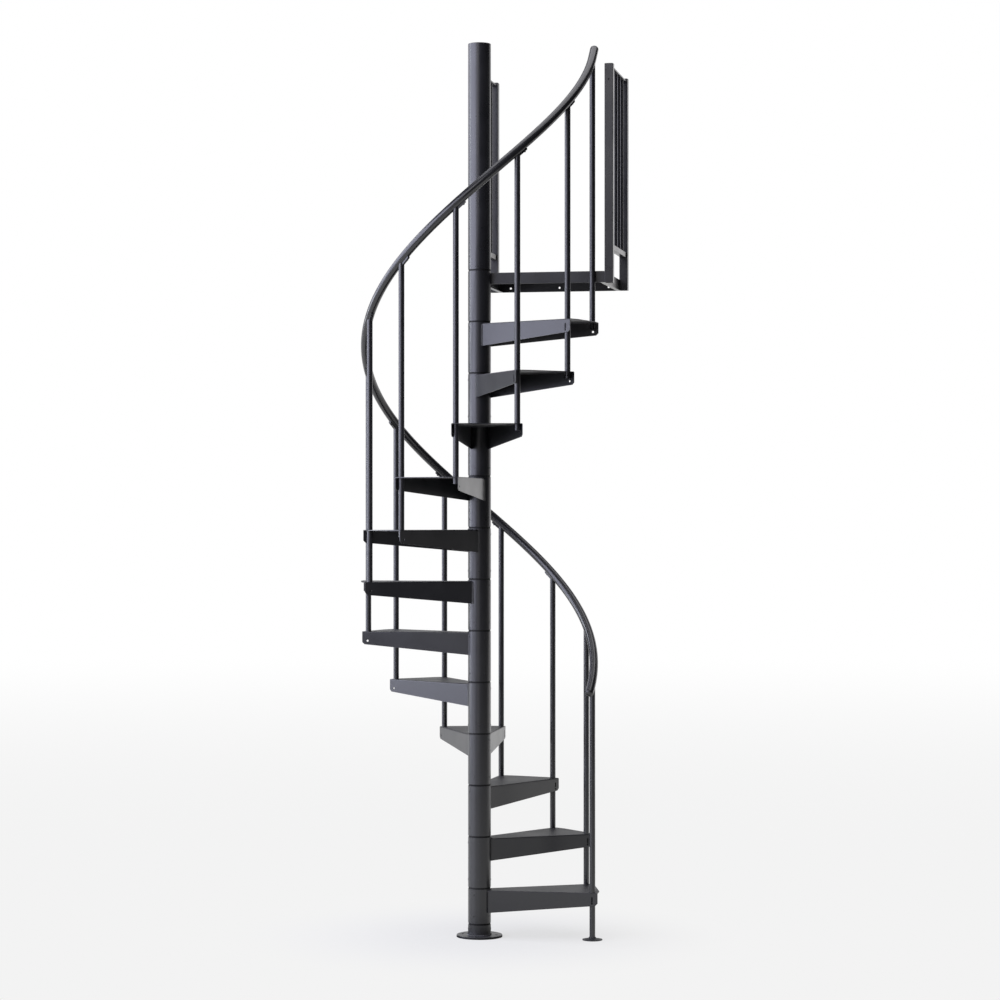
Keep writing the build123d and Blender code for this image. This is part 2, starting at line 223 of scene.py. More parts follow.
def ring_welds(
    centres: np.ndarray, radius: float, rising: np.ndarray, size: float, steps: int
) -> np.ndarray:
    """Fillet weld beads round upright tubes, on circles: centre + radius * (cos a, sin a, 0).

    Args:
        centres: the middle of each tube where it meets a level face.
        radius: the tubes' outer radius.
        rising: one where a tube stands on the face, minus one where it hangs from it.
        size: the beads' leg length.
        steps: points round each bead.

    Returns:
        Points shaped (copies, steps, section points, 3).
    """
    out = around(ring_angles(steps))[None] * np.ones((len(centres), 1, 1))
    corners = centres[:, None, :] + out * radius
    along = np.broadcast_to((rising[:, None] * UP)[:, None, :], out.shape)
    return weld_bead(corners, (out, along), size, True)


@dataclass(frozen=True)
class ScrewShape:
    """A screw head turned about its axis, whose rows are round or six-sided.

    Each row is (round radius, six-sided radius, height), and a point's distance from the axis is
    the round radius plus the six-sided radius divided by cos(angle from the nearest flat's middle).
    """

    rows: tuple[tuple[float, float, float], ...]
    columns: int = 24
    flats: int = 6

    def grid(self) -> np.ndarray:
        """Works out the head's points.

        Returns:
            Points about +Z, shaped (rows, columns, 3).
        """
        table = np.array(self.rows)
        angles = ring_angles(self.columns)
        flat = 1 / np.cos(angles % (2 * pi / self.flats) - pi / self.flats)
        reach = table[:, 0:1] + table[:, 1:2] * flat[None, :]
        height = np.broadcast_to(table[:, 2:3], reach.shape)
        return np.stack([reach * np.cos(angles), reach * np.sin(angles), height], axis=-1)


def socket_screw(radius: float, proud: float, key: float) -> ScrewShape:
    """A set screw's end with a hexagon socket.

    Args:
        radius: the screw's radius.
        proud: how far it stands out of the tube that it is screwed into.
        key: half the width of the socket across its flats.

    Returns:
        The screw's shape, from the socket's floor over the rim and down into the tube.
    """
    chamfer_share = 0.25
    depth_share = 0.85
    floor = proud * (1 - depth_share)
    edge = proud * chamfer_share
    rows = (
        (0.0, 0.0, floor), (0.0, key, floor), (0.0, key, proud), (radius - edge, 0.0, proud),
        (radius, 0.0, proud - edge), (radius, 0.0, -proud), (0.0, 0.0, -proud),
    )
    return ScrewShape(rows)


def hexagon_screw(key: float, height: float, washer: float) -> ScrewShape:
    """A hexagon head on its own washer face.

    Args:
        key: half the head's width across its flats.
        height: the head's height.
        washer: the radius of the washer face.

    Returns:
        The screw's shape, from the head's top down into the saddle.
    """
    washer_share = 0.25
    dome_share = 0.12
    rim = height * washer_share
    rows = (
        (0.0, 0.0, height), (0.0, key * (1 - dome_share), height),
        (0.0, key, height * (1 - dome_share)), (0.0, key, rim), (washer * (1 - dome_share), 0.0, rim),
        (washer, 0.0, rim / 2), (washer, 0.0, -rim), (0.0, 0.0, -rim),
    )
    return ScrewShape(rows)


class NodeSheet:
    """A node tree with short calls that add nodes and feed their inputs."""

    noise_roughness: float = 0.55

    def __init__(self, tree: NodeTree) -> None:
        """Keeps the tree to work on."""
        self.tree = tree

    def node(self, kind: str, inputs: dict | None = None, **settings: Feed) -> Node:
        """Adds a node.

        Args:
            kind: the node's type name.
            inputs: a socket to link or a value to set, by input name or number.
            settings: the node's own properties.

        Returns:
            The new node.
        """
        made = self.tree.nodes.new(kind)
        for name, value in settings.items():
            setattr(made, name, value)
        for name, value in (inputs or {}).items():
            if isinstance(value, NodeSocket):
                self.tree.links.new(value, made.inputs[name])
            else:
                made.inputs[name].default_value = value
        return made

    def math(self, operation: str, first: Feed, second: Feed = 0.0) -> NodeSocket:
        """One sum of two values."""
        return self.node("ShaderNodeMath", {0: first, 1: second}, operation=operation).outputs[0]

    def dot(self, first: Feed, second: Feed) -> NodeSocket:
        """The dot product of two vectors."""
        made = self.node("ShaderNodeVectorMath", {0: first, 1: second}, operation="DOT_PRODUCT")
        return made.outputs["Value"]

    def ramp(
        self, value: Feed, start: float, end: float, low: float = 0.0, high: float = 1.0
    ) -> NodeSocket:
        """A smooth step from low to high as the value goes from start to end."""
        inputs = {"Value": value, "From Min": start, "From Max": end, "To Min": low, "To Max": high}
        return self.node("ShaderNodeMapRange", inputs, interpolation_type="SMOOTHSTEP").outputs["Result"]

    def noise(self, vector: Feed, scale: Feed, detail: float) -> NodeSocket:
        """Cloudy values round one half."""
        inputs = {"Vector": vector, "Scale": scale, "Detail": detail, "Roughness": self.noise_roughness}
        return self.node("ShaderNodeTexNoise", inputs).outputs["Fac"]

    def mix(self, share: Feed, first: Feed, second: Feed) -> NodeSocket:
        """A colour between two, by share. The node's colour sockets are inputs 6 and 7 and output 2."""
        return self.node("ShaderNodeMix", {0: share, 6: first, 7: second}, data_type="RGBA").outputs[2]


def opaque(colour: Colour) -> tuple[float, float, float, float]:
    """A colour with its alpha."""
    return (*colour, 1.0)


class EffectShelf:
    """Builds each shared effect's node group once and places it in materials."""

    grain_detail: float = 2.0
    mottle_scale: float = 7.0
    mottle_detail: float = 4.0
    rub_samples: int = 4
    rub_lean: tuple[float, float] = (0.015, 0.22)
    rub_scale: float = 38.0
    rub_detail: float = 3.0
    rub_break: tuple[float, float] = (0.36, 0.62)
    dust_facing: tuple[float, float] = (0.45, 0.98)
    dust_scale: float = 9.0
    dust_detail: float = 5.0
    dust_patch: tuple[float, float] = (0.25, 0.75)
    dust_patch_shares: tuple[float, float] = (0.82, 1.0)

    def __init__(self) -> None:
        """Builds the three groups."""
        self.groups: dict[Effect, NodeTree] = {}
        self.grain()
        self.edge()
        self.dust()

    def start(
        self, effect: Effect, inputs: dict[str, str], outputs: list[str]
    ) -> tuple[NodeSheet, Node]:
        """Makes an effect's empty group with its sockets, and keeps it.

        Args:
            effect: the effect that names the group.
            inputs: socket type by input name.
            outputs: names of the values that the group puts out.

        Returns:
            The group's sheet and its input node.
        """
        tree = bpy.data.node_groups.new(effect.value, "ShaderNodeTree")
        self.groups[effect] = tree
        for name, kind in inputs.items():
            tree.interface.new_socket(name, in_out="INPUT", socket_type=kind)
        for name in outputs:
            tree.interface.new_socket(name, in_out="OUTPUT", socket_type="NodeSocketFloat")
        sheet = NodeSheet(tree)
        return sheet, sheet.node("NodeGroupInput")

    def grain(self) -> None:
        """Orange-peel height of a sprayed and baked coat, and a broad mottle of its gloss."""
        inputs = {"Vector": "NodeSocketVector", "Size": "NodeSocketFloat"}
        sheet, given = self.start(Effect.GRAIN, inputs, ["Height", "Mottle"])
        fineness = sheet.math("DIVIDE", 1.0, given.outputs["Size"])
        height = sheet.noise(given.outputs["Vector"], fineness, self.grain_detail)
        mottle = sheet.noise(given.outputs["Vector"], self.mottle_scale, self.mottle_detail)
        sheet.node("NodeGroupOutput", {"Height": height, "Mottle": mottle})

    def edge(self) -> None:
        """Where sharp edges are rubbed.

        The mask is how far a rounded normal leans from the true one, broken up by noise.
        """
        inputs = {"Vector": "NodeSocketVector", "Width": "NodeSocketFloat"}
        sheet, given = self.start(Effect.EDGE, inputs, ["Mask"])
        width = {"Radius": given.outputs["Width"]}
        rounded = sheet.node("ShaderNodeBevel", width, samples=self.rub_samples)
        true = sheet.node("ShaderNodeNewGeometry")
        lean = sheet.math("SUBTRACT", 1.0, sheet.dot(rounded.outputs["Normal"], true.outputs["Normal"]))
        line = sheet.ramp(lean, *self.rub_lean)
        cloud = sheet.noise(given.outputs["Vector"], self.rub_scale, self.rub_detail)
        broken = sheet.ramp(cloud, *self.rub_break)
        sheet.node("NodeGroupOutput", {"Mask": sheet.math("MULTIPLY", line, broken)})

    def dust(self) -> None:
        """Fine dust on faces that look up, thicker in patches."""
        sheet, given = self.start(Effect.DUST, {"Vector": "NodeSocketVector"}, ["Mask"])
        normal = sheet.node("ShaderNodeNewGeometry").outputs["Normal"]
        facing = sheet.ramp(sheet.dot(normal, tuple(UP)), *self.dust_facing)
        cloud = sheet.noise(given.outputs["Vector"], self.dust_scale, self.dust_detail)
        patch = sheet.ramp(cloud, *self.dust_patch, *self.dust_patch_shares)
        sheet.node("NodeGroupOutput", {"Mask": sheet.math("MULTIPLY", facing, patch)})

    def place(self, sheet: NodeSheet, effect: Effect, inputs: dict) -> Node:
        """Puts an effect's group in a material with its own values."""
        return sheet.node("ShaderNodeGroup", inputs, node_tree=self.groups[effect])


@dataclass(frozen=True)
class CoatFinish:
    """A sprayed coat, moulded plastic or blackened steel, with grain, mottle, rubbed edges and dust."""

    name: str
    colour: Colour
    roughness: float
    edge_colour: Colour = (0.105, 0.107, 0.112)
    dust_colour: Colour = (0.27, 0.265, 0.255)
    metallic: float = 0.0
    index: float = 1.62
    grain_size: float = 0.0016
    grain_depth: float = 0.00002
    mottle_share: float = 0.16
    mottle_range: tuple[float, float] = (0.3, 0.7)
    edge_width: float = 0.0012
    edge_share: float = 0.35
    dust_share: float = 0.03
    dust_roughness: float = 0.12

    def material(self, shelf: EffectShelf) -> Material:
        """Builds the finish.

        Args:
            shelf: the shared effects.

        Returns:
            The material, with colour, roughness and bump that change over the surface.
        """
        made = bpy.data.materials.new(self.name)
        made.use_nodes = True
        made.node_tree.nodes.clear()
        sheet = NodeSheet(made.node_tree)
        place = sheet.node("ShaderNodeTexCoord").outputs["Object"]
        grain = shelf.place(sheet, Effect.GRAIN, {"Vector": place, "Size": self.grain_size})
        edge = shelf.place(sheet, Effect.EDGE, {"Vector": place, "Width": self.edge_width})
        dust = shelf.place(sheet, Effect.DUST, {"Vector": place})
        mottle = grain.outputs["Mottle"]
        deep = opaque(tuple(c * (1 - self.mottle_share) for c in self.colour))
        pale = opaque(tuple(c * (1 + self.mottle_share) for c in self.colour))
        paint = sheet.mix(sheet.ramp(mottle, *self.mottle_range), deep, pale)
        rubbed = sheet.math("MULTIPLY", edge.outputs["Mask"], self.edge_share)
        paint = sheet.mix(rubbed, paint, opaque(self.edge_colour))
        dusty = sheet.math("MULTIPLY", dust.outputs["Mask"], self.dust_share)
        paint = sheet.mix(dusty, paint, opaque(self.dust_colour))
        swing = self.roughness * self.mottle_share
        gloss = sheet.ramp(mottle, *self.mottle_range, self.roughness - swing, self.roughness + swing)
        dulled = sheet.math("MULTIPLY", dust.outputs["Mask"], self.dust_roughness)
        bump = sheet.node("ShaderNodeBump", {
            "Height": grain.outputs["Height"],
            "Strength": 1.0,
            "Distance": self.grain_depth,
        })
        shader = sheet.node("ShaderNodeBsdfPrincipled", {
            "Base Color": paint,
            "Roughness": sheet.math("ADD", gloss, dulled),
            "Normal": bump.outputs["Normal"],
            "Metallic": self.metallic,
            "IOR": self.index,
        })
        sheet.node("ShaderNodeOutputMaterial", {"Surface": shader.outputs["BSDF"]})
        return made


SHEET_COAT = CoatFinish("sheet_powder_coat", CHARCOAL, 0.33, mottle_share=0.08, dust_roughness=0.21)
TUBE_COAT = CoatFinish("tube_powder_coat", CHARCOAL, 0.30, grain_depth=0.000006, edge_width=0.0005)
RAIL_COAT = CoatFinish(
    "rail_satin_coat", (0.0195, 0.0200, 0.0222), 0.24,
    grain_size=0.0020, grain_depth=0.000004, edge_share=0.0,
)
PLUG_PLASTIC = CoatFinish(
    "plug_plastic", (0.012, 0.012, 0.0128), 0.42,
    grain_size=0.0007, grain_depth=0.00001, edge_share=0.15,
)
# Near-black plastic: the seam washers' own colour, which also paints the shade in the seam grooves and
# inside the tread slots
SHADE_BLACK_PLASTIC = CoatFinish(
    "shade_black_plastic", (0.006, 0.006, 0.0066), 0.72,
    index=1.42, grain_size=0.0009, edge_share=0.0, dust_share=0.0,
)
BLACK_STEEL = CoatFinish(
    "blackened_steel", (0.045, 0.045, 0.048), 0.42, edge_colour=(0.20, 0.20, 0.21), metallic=0.85,
    grain_size=0.0005, grain_depth=0.00001, edge_width=0.0004, dust_share=0.04,
)


class PaintShop:
    """Keeps one material for each finish and puts finishes on pieces."""

    def __init__(self, shelf: EffectShelf) -> None:
        """Keeps the shared effects."""
        self.shelf = shelf
        self.materials: dict[CoatFinish, Material] = {}

    def coat(self, finish: CoatFinish) -> Material:
        """Finds a finish's material, which is made on first use.

        Args:
            finish: the finish.

        Returns:
            Its one material.
        """
        if finish not in self.materials:
            self.materials[finish] = finish.material(self.shelf)
        return self.materials[finish]

    def dress_node(self, node: str, finish: CoatFinish) -> None:
        """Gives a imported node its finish.

        Args:
            node: the node's name.
            finish: its finish.
        """
        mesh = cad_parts[node].data
        mesh.materials.clear()
        mesh.materials.append(self.coat(finish))

    def add_piece(self, piece: Object, finish: CoatFinish, slot: Slot) -> None:
        """Finishes a new piece and fixes it to the stair.

        Args:
            piece: the new object.
            finish: its finish.
            slot: the record's slot that the finish belongs to; not used.
        """
        piece.data.materials.append(self.coat(finish))
        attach(piece, BODY)
        LOG.info("%s: %d faces", piece.name, len(piece.data.polygons))


@dataclass(frozen=True)
class StairPlan:
    """The stair's main sizes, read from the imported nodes."""

    steps: int
    sleeve_radius: float
    ring_radius: float
    tube_radius: float
    seams: np.ndarray
    sleeve_bottoms: np.ndarray
    base_top: float
    collar_top: float
    landing_seam: float
    sleeve_above_tread: float = 0.013

    @classmethod
    def from_frame(cls) -> "StairPlan":
        """Reads the plan from the boxes of the nodes.

        Returns:
            The plan.
        """
        treads = sorted(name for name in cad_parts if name.startswith("tread_"))
        boxes = [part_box(name) for name in treads]
        upper_low, upper_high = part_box("upper_sleeve")
        newel_low, newel_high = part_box("newel")
        seams = np.array([high.z for _, high in boxes])
        collar_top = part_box("base_plate")[1].z
        return cls(
            steps=len(treads),
            sleeve_radius=(upper_high.x - upper_low.x) / 2,
            ring_radius=(newel_low.x + newel_high.x) / 2,
            tube_radius=(newel_high.x - newel_low.x) / 2,
            seams=seams,
            sleeve_bottoms=np.concatenate([[collar_top], seams[:-1]]),
            base_top=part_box("centre_pole")[0].z,
            collar_top=collar_top,
            landing_seam=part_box("landing")[1].z,
        )

    @property
    def step_angle(self) -> float:
        """The turn from one tread to the next."""
        return 2 * pi / self.steps

    @property
    def tread_angles(self) -> np.ndarray:
        """The middle line of each tread round the column."""
        return (np.arange(self.steps) + 0.5) * self.step_angle

    @property
    def tread_tops(self) -> np.ndarray:
        """The height of each tread's plate."""
        return self.seams - self.sleeve_above_tread

    @property
    def landing_top(self) -> float:
        """The height of the landing's plate."""
        return self.landing_seam - self.sleeve_above_tread


@dataclass(frozen=True)
class Column:
    """The stacked sleeves from base to cap, with their seam washers, whose near-black tone also paints the
    grooves' shade, set screws and weld.
    """

    plan: StairPlan
    shop: PaintShop
    screw_radius: float = 0.0045
    screw_proud: float = 0.0008
    screw_key: float = 0.0025
    screw_from_end: float = 0.033
    screw_lead: float = radians(56)
    screws_round: int = 4
    collar_screw_height: float = 0.035
    collar_screw_lead: float = radians(11.4)
    base_weld: float = 0.004
    weld_steps: int = 480
    groove_height: float = 0.008
    groove_depth: float = 0.004
    washer_recess: float = 0.0022
    washer_steps: int = 128

    def set_screws(self) -> None:
        """Adds two rings of set screws to each tread's sleeve, near its ends, and one to the collar."""
        plan = self.plan
        quarters = ring_angles(self.screws_round)
        turns = plan.tread_angles[:, None] + self.screw_lead + quarters
        lower = plan.sleeve_bottoms + self.screw_from_end
        upper = plan.seams - self.screw_from_end
        rows = np.stack([lower, upper], axis=1)
        angles = np.broadcast_to(turns[:, None, :], (plan.steps, 2, self.screws_round)).ravel()
        heights = np.broadcast_to(rows[:, :, None], (plan.steps, 2, self.screws_round)).ravel()
        angles = np.concatenate([angles, self.collar_screw_lead + quarters])
        heights = np.concatenate([heights, np.full(self.screws_round, self.collar_screw_height)])
        out = around(angles)
        origins = out * plan.sleeve_radius + heights[:, None] * UP
        shape = socket_screw(self.screw_radius, self.screw_proud, self.screw_key).grid()
        grids = placed(shape, origins, axes_along(out, np.broadcast_to(UP, out.shape)))
        self.shop.add_piece(surface_piece("sleeve_set_screws", grids, Closing.ACROSS), TUBE_COAT, Slot.COAT)

    def seam_washers_and_shade(self) -> None:
        """Adds a near-black washer in each seam's groove, a spacer whose dark tone also paints the groove's
        shade: a four-cornered section carried round the column.
        """
        plan = self.plan
        neck = plan.sleeve_radius - self.groove_depth
        face = plan.sleeve_radius - self.washer_recess
        low = -self.groove_height
        section = np.array([(neck, low), (face, low), (face, 0.0), (neck, 0.0)])
        seams = np.concatenate([[plan.collar_top], plan.seams, [plan.landing_seam]])
        out = around(ring_angles(self.washer_steps))
        ring = out[:, None, :] * section[None, :, 0:1] + section[None, :, 1:2] * UP
        grids = ring[None] + seams[:, None, None, None] * UP
        # Spacer washers whose near-black tone also paints the shade in the seam grooves
        self.shop.add_piece(surface_piece("seam_washers_and_shade", grids, Closing.BOTH), SHADE_BLACK_PLASTIC, Slot.PLUG)

    def foot_weld(self) -> None:
        """Adds the fillet weld that joins the collar to the base plate."""
        foot = self.plan.base_top * UP[None]
        grids = ring_welds(foot, self.plan.sleeve_radius, np.ones(1), self.base_weld, self.weld_steps)
        self.shop.add_piece(surface_piece("base_weld", grids, Closing.BOTH), TUBE_COAT, Slot.COAT)

    def build(self) -> None:
        """Dresses the column's nodes and adds its small pieces."""
        for node in ("base_plate", "centre_pole", "upper_sleeve", "column_cap"):
            self.shop.dress_node(node, TUBE_COAT)
        self.set_screws()
        self.seam_washers_and_shade()
        self.foot_weld()


@dataclass(frozen=True)
class Treads:
    """The folded wedge treads, with their weld beads and the painted shade in their slots."""

    plan: StairPlan
    shop: PaintShop
    hub_half_width: float = 0.0395
    sheet: float = 0.003
    fit: float = 0.0003
    bend: float = 0.0045
    flange_depth: float = 0.100
    side_weld: float = 0.0042
    top_weld: float = 0.0026
    weld_steps: int = 140
    shade_patch_width: float = 0.0076
    shade_patch_recess: float = 0.0015
    shade_patch_columns: int = 32
    long_shade_patch: float = 0.0225
    long_shade_patch_below_top: float = 0.0295
    round_shade_patch_below_top: float = 0.0480

    def flange_line(self) -> tuple[float, float]:
        """The line of a flange's outer face in the tread's own frame.

        It leaves the sleeve at the hub's half width, and passes the baluster's axis by the tube's
        radius, the fit and the sheet.

        Returns:
            The angle round the sleeve where it leaves, and its angle to the tread's middle line.
        """
        plan = self.plan
        half = plan.step_angle / 2
        hub_angle = asin(self.hub_half_width / plan.sleeve_radius)
        reach_x = plan.ring_radius * cos(half) - plan.sleeve_radius * cos(hub_angle)
        reach_y = plan.ring_radius * sin(half) - self.hub_half_width
        aside = plan.tube_radius + self.fit + self.sheet
        return hub_angle, atan2(reach_y, reach_x) + asin(aside / hypot(reach_x, reach_y))

    def side_welds(self) -> None:
        """Adds a bead down the outer corner between each flange and its sleeve."""
        plan = self.plan
        hub_angle, flange_angle = self.flange_line()
        sides = np.array([-1.0, 1.0])
        at = (plan.tread_angles[:, None] + sides * hub_angle).ravel()
        along = (plan.tread_angles[:, None] + sides * flange_angle).ravel()
        turned = at + np.tile(sides, plan.steps) * pi / 2
        tops = np.repeat(plan.tread_tops, 2)
        drop = np.linspace(self.bend, self.flange_depth, self.weld_steps)
        heights = tops[:, None] - drop[None, :]
        corners = around(at)[:, None, :] * plan.sleeve_radius + heights[..., None] * UP
        leg_a = np.broadcast_to(around(along)[:, None, :], corners.shape)
        leg_b = np.broadcast_to(around(turned)[:, None, :], corners.shape)
        grids = weld_bead(corners, (leg_a, leg_b), self.side_weld, False)
        self.shop.add_piece(surface_piece("flange_welds", grids, Closing.ACROSS), SHEET_COAT, Slot.COAT)

    def top_welds(self) -> None:
        """Adds a small bead round the sleeve on top of each tread's plate."""
        plan = self.plan
        half = asin((self.hub_half_width - self.bend) / plan.sleeve_radius)
        angles = plan.tread_angles[:, None] + np.linspace(-half, half, self.weld_steps)[None, :]
        out = around(angles)
        corners = out * plan.sleeve_radius + plan.tread_tops[:, None, None] * UP
        up = np.broadcast_to(UP, out.shape)
        grids = weld_bead(corners, (out, up), self.top_weld, False)
        self.shop.add_piece(surface_piece("plate_welds", grids, Closing.ACROSS), SHEET_COAT, Slot.COAT)

    def shade_patch_shape(self, length: float) -> np.ndarray:
        """A flat patch of painted shade about +Z with half-round ends, its long side on X.

        Its rim is radius * (cos a, sin a), moved along X to the end that the angle looks to.

        Args:
            length: its length over the round ends.

        Returns:
            Points shaped (rows, columns, 3): the middle and the rim of its face, then of its back.
        """
        columns = self.shade_patch_columns
        radius = self.shade_patch_width / 2
        # Half a step on, so that no angle lies between the two ends
        angles = (np.arange(columns) + 0.5) * 2 * pi / columns
        straight = np.sign(np.cos(angles)) * (length / 2 - radius)
        rim = np.stack([straight + radius * np.cos(angles), radius * np.sin(angles)], axis=-1)
        share = np.array([0.0, 1.0, 1.0, 0.0])
        depth = -np.array([self.shade_patch_recess, self.shade_patch_recess, self.sheet, self.sheet])
        flat = share[:, None, None] * rim[None, :, :]
        height = np.broadcast_to(depth[:, None, None], (len(share), columns, 1))
        return np.concatenate([flat, height], axis=-1)

    def painted_slot_shade(self) -> None:
        """Adds two near-black pieces that paint the shade in the slot of each front flange, a long one over
        a round one.

        The slot stands over the point of the flange's line that is nearest to the baluster.
        """
        plan = self.plan
        hub_angle, flange_angle = self.flange_line()
        along = around(plan.tread_angles - flange_angle)
        out = around(plan.tread_angles - flange_angle - pi / 2)
        hub = around(plan.tread_angles - hub_angle) * plan.sleeve_radius
        baluster = around(plan.tread_angles - plan.step_angle / 2) * plan.ring_radius
        reach = np.sum((baluster - hub) * along, axis=-1, keepdims=True)
        tops = plan.tread_tops[:, None]
        axes = axes_along(out, np.broadcast_to(UP, out.shape))
        shade_patches = (
            (self.long_shade_patch, self.long_shade_patch_below_top),
            (self.shade_patch_width, self.round_shade_patch_below_top),
        )
        copies = []
        for length, below in shade_patches:
            origins = hub + reach * along + (tops - below) * UP
            copies.append(placed(self.shade_patch_shape(length), origins, axes))
        grids = np.concatenate(copies)
        # Near-black pieces that paint the shade inside each flange's slot
        self.shop.add_piece(surface_piece("painted_slot_shade", grids, Closing.ACROSS), SHADE_BLACK_PLASTIC, Slot.PLUG)

    def build(self) -> None:
        """Dresses the treads and adds their welds and the painted shade in their slots."""
        for step in range(1, self.plan.steps + 1):
            self.shop.dress_node(f"tread_{step:02d}", SHEET_COAT)
        self.side_welds()
        self.top_welds()
        self.painted_slot_shade()


@dataclass(frozen=True)
class Balustrade:
    """Newel, foot, balusters and the round handrail, with the screws under their saddles."""

    plan: StairPlan
    shop: PaintShop
    foot_boss_top: float = 0.012
    foot_weld: float = 0.0028
    weld_steps: int = 160
    rail_over_tread: float = 0.9385
    screw_uphill: float = 0.023
    saddle_drop: float = 0.0254
    screw_key: float = 0.003
    screw_height: float = 0.0035
    screw_washer: float = 0.0046

    def newel_weld(self) -> None:
        """Adds the bead between the newel and the boss of its foot."""
        foot = np.array([[self.plan.ring_radius, 0.0, self.foot_boss_top]])
        grids = ring_welds(foot, self.plan.tube_radius, np.ones(1), self.foot_weld, self.weld_steps)
        self.shop.add_piece(surface_piece("newel_weld", grids, Closing.BOTH), SHEET_COAT, Slot.COAT)

    def saddle_screws(self) -> None:
        """Adds one hexagon screw under the uphill tab of each saddle, square to the rail.

        The rail's line climbs one rise for each step of arc, so its slope is atan(rise / arc), and
        the screw stands below the line by the saddle's drop, uphill of the baluster.
        """
        plan = self.plan
        rise = float(np.diff(plan.seams).mean())
        slope = atan2(rise, plan.ring_radius * plan.step_angle)
        angles = np.arange(plan.steps + 1) * plan.step_angle
        out = around(angles)
        level = around(angles + pi / 2)
        uphill = level * cos(slope) + UP * sin(slope)
        down = level * sin(slope) - UP * cos(slope)
        first = plan.tread_tops[0] + self.rail_over_tread
        heights = first + np.arange(plan.steps + 1) * rise
        origins = out * plan.ring_radius + heights[:, None] * UP
        origins = origins + uphill * self.screw_uphill + down * self.saddle_drop
        shape = hexagon_screw(self.screw_key, self.screw_height, self.screw_washer).grid()
        grids = placed(shape, origins, axes_along(down, out))
        self.shop.add_piece(surface_piece("saddle_screws", grids, Closing.ACROSS), BLACK_STEEL, Slot.COAT)

    def build(self) -> None:
        """Dresses the balustrade's nodes and adds its small pieces."""
        self.shop.dress_node("newel_foot", SHEET_COAT)
        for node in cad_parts:
            if node.startswith("baluster_") or node == "newel":
                self.shop.dress_node(node, TUBE_COAT)
            elif node.startswith("handrail_section_"):
                self.shop.dress_node(node, RAIL_COAT)
            elif node.startswith("handrail_"):
                self.shop.dress_node(node, PLUG_PLASTIC)
        self.newel_weld()
        self.saddle_screws()


@dataclass(frozen=True)
class Landing:
    """The landing and its two guard panels, with post caps, screws and weld beads."""

    plan: StairPlan
    shop: PaintShop
    cap_height: float = 0.0042
    cap_overhang: float = 0.0006
    cap_squareness: float = 9.0
    cap_fall_share: float = 0.55
    cap_fall_power: int = 6
    cap_columns: int = 64
    cap_rows: int = 10
    screw_below_top: float = 0.067
    screw_radius: float = 0.0042
    screw_proud: float = 0.0022
    screw_key: float = 0.0022
    top_bar_below_post: float = 0.006
    top_bar_thickness: float = 0.00635
    bottom_bar_clear: float = 0.098
    bottom_bar_height: float = 0.0222
    picket_radius: float = 0.009525
    pickets: tuple[tuple[str, int], ...] = (("landing_guard_left", 3), ("landing_guard_right", 4))
    picket_weld: float = 0.0024
    weld_steps: int = 96

    def posts(self) -> np.ndarray:
        """Finds the posts.

        Returns:
            The middle of each post's top, two for each guard: front, then rear.
        """
        places = []
        for guard, _ in self.pickets:
            low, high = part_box(guard)
            half = (high.x - low.x) / 2
            places += [(low.x + half, low.y + half, high.z), (low.x + half, high.y - half, high.z)]
        return np.array(places)

    def post_half(self) -> float:
        """Half the side of a post."""
        low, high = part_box(self.pickets[0][0])
        return (high.x - low.x) / 2

    def post_caps(self) -> None:
        """Adds pillowed square plugs on the posts: a rounded square that closes towards a low crown.

        The plan is |x|^n + |y|^n = side^n, where n is the squareness. The height falls from the
        crown with a high power of the distance from the middle, down to a short skirt.
        """
        side = self.post_half() + self.cap_overhang
        power = self.cap_squareness
        angles = ring_angles(self.cap_columns)
        reach = (np.abs(np.cos(angles)) ** power + np.abs(np.sin(angles)) ** power) ** (-1 / power)
        share = np.linspace(0, 1, self.cap_rows)
        lift = self.cap_height * (1 - self.cap_fall_share * share ** self.cap_fall_power)
        share = np.append(share, [1.0, 0.0])
        lift = np.append(lift, [0.0, 0.0])
        radius = side * share[:, None] * reach[None, :]
        height = np.broadcast_to(lift[:, None], radius.shape)
        local = np.stack([radius * np.cos(angles), radius * np.sin(angles), height], axis=-1)
        posts = self.posts()
        upright = np.broadcast_to(np.eye(3), (len(posts), 3, 3))
        grids = placed(local, posts, upright)
        self.shop.add_piece(surface_piece("post_caps", grids, Closing.ACROSS), PLUG_PLASTIC, Slot.PLUG)

    def post_screws(self) -> None:
        """Adds one screw in the front face of each front post, a hand below its top."""
        front = self.posts()[0::2]
        origins = front + np.array([0.0, -self.post_half(), -self.screw_below_top])
        out = np.broadcast_to(np.array([0.0, -1.0, 0.0]), origins.shape)
        shape = socket_screw(self.screw_radius, self.screw_proud, self.screw_key).grid()
        axes = axes_along(out, np.broadcast_to(UP, out.shape))
        grids = placed(shape, origins, axes)
        self.shop.add_piece(surface_piece("post_screws", grids, Closing.ACROSS), BLACK_STEEL, Slot.COAT)

    def picket_welds(self) -> None:
        """Adds a ring of weld round each picket's foot and head."""
        foot = self.plan.landing_top + self.bottom_bar_clear + self.bottom_bar_height
        places = []
        for guard, count in self.pickets:
            low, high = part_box(guard)
            half = (high.x - low.x) / 2
            head = high.z - self.top_bar_below_post - self.top_bar_thickness
            rows = np.linspace(low.y + half, high.y - half, count + 2)[1:-1]
            places += [(low.x + half, y, z) for y in rows for z in (foot, head)]
        centres = np.array(places)
        rising = np.where(centres[:, 2] < centres[:, 2].mean(), 1.0, -1.0)
        grids = ring_welds(centres, self.picket_radius, rising, self.picket_weld, self.weld_steps)
        self.shop.add_piece(surface_piece("picket_welds", grids, Closing.BOTH), TUBE_COAT, Slot.COAT)

    def build(self) -> None:
        """Dresses the landing's nodes and adds its small pieces."""
        self.shop.dress_node("landing", SHEET_COAT)
        for guard, _ in self.pickets:
            self.shop.dress_node(guard, TUBE_COAT)
        self.post_caps()
        self.post_screws()
        self.picket_welds()


